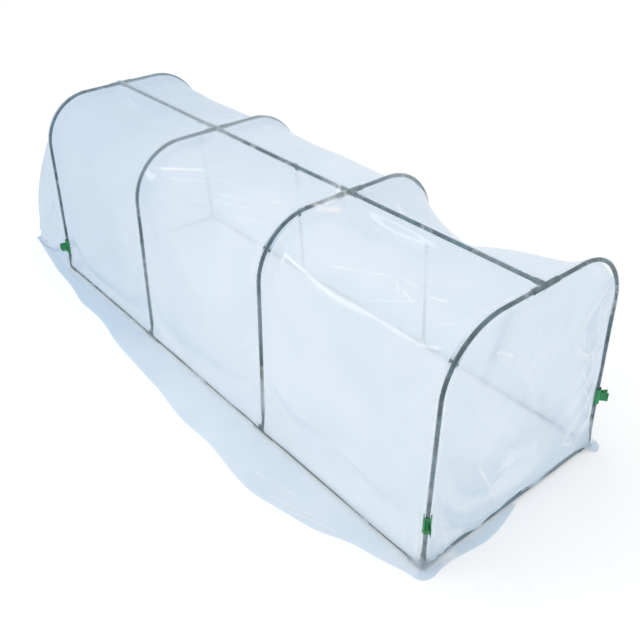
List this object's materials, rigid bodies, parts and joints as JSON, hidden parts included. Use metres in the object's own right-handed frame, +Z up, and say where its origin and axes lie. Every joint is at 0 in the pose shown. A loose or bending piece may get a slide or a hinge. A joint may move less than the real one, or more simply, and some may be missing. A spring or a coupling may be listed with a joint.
{
  "type": "low garden polytunnel",
  "caption": "Low grow tunnel of bent tube hoops on a base frame, with ridge poles, socket connectors, a draped clear film cover with skirts and tail, and snap clips on the end legs.",
  "frame": {"origin": "on the ground, at the middle of the part's box", "axes": "+X along the tunnel towards the front end, +Z up; left is -Y, as seen facing the front end"},
  "size_m": [3.62, 1.499, 1.0163],
  "materials": {
    "coated_tube": "grey-green coated steel tube, satin",
    "connector_plastic": "grey-green moulded plastic",
    "clip_plastic": "green moulded plastic, glossy",
    "clear_film": "clear polythene film, glossy, with soft creases"
  },
  "bodies": {
    "root": {"back_hoop_left": "coated_tube", "back_hoop_right": "coated_tube", "mid_back_hoop_left": "coated_tube", "mid_back_hoop_right": "coated_tube", "mid_front_hoop_left": "coated_tube", "mid_front_hoop_right": "coated_tube", "front_hoop_left": "coated_tube", "front_hoop_right": "coated_tube", "ridge_tube_back": "coated_tube", "ridge_tube_middle": "coated_tube", "ridge_tube_front": "coated_tube", "left_rail_back": "coated_tube", "right_rail_back": "coated_tube", "left_rail_middle": "coated_tube", "right_rail_middle": "coated_tube", "left_rail_front": "coated_tube", "right_rail_front": "coated_tube", "back_end_rail": "coated_tube", "front_end_rail": "coated_tube", "ridge_tee_back": "connector_plastic", "ridge_cross_mid_back": "connector_plastic", "ridge_cross_mid_front": "connector_plastic", "ridge_tee_front": "connector_plastic", "corner_back_left": "connector_plastic", "corner_back_right": "connector_plastic", "foot_tee_mid_back_left": "connector_plastic", "foot_tee_mid_back_right": "connector_plastic", "foot_tee_mid_front_left": "connector_plastic", "foot_tee_mid_front_right": "connector_plastic", "corner_front_left": "connector_plastic", "corner_front_right": "connector_plastic", "clip_back_left": "clip_plastic", "clip_back_right": "clip_plastic", "clip_front_left": "clip_plastic", "clip_front_right": "clip_plastic", "cover_vault": "clear_film", "cover_front_end": "clear_film", "cover_back_tail": "clear_film", "left_skirt": "clear_film", "right_skirt": "clear_film", "front_skirt": "clear_film"}
  },
  "joints": []
}
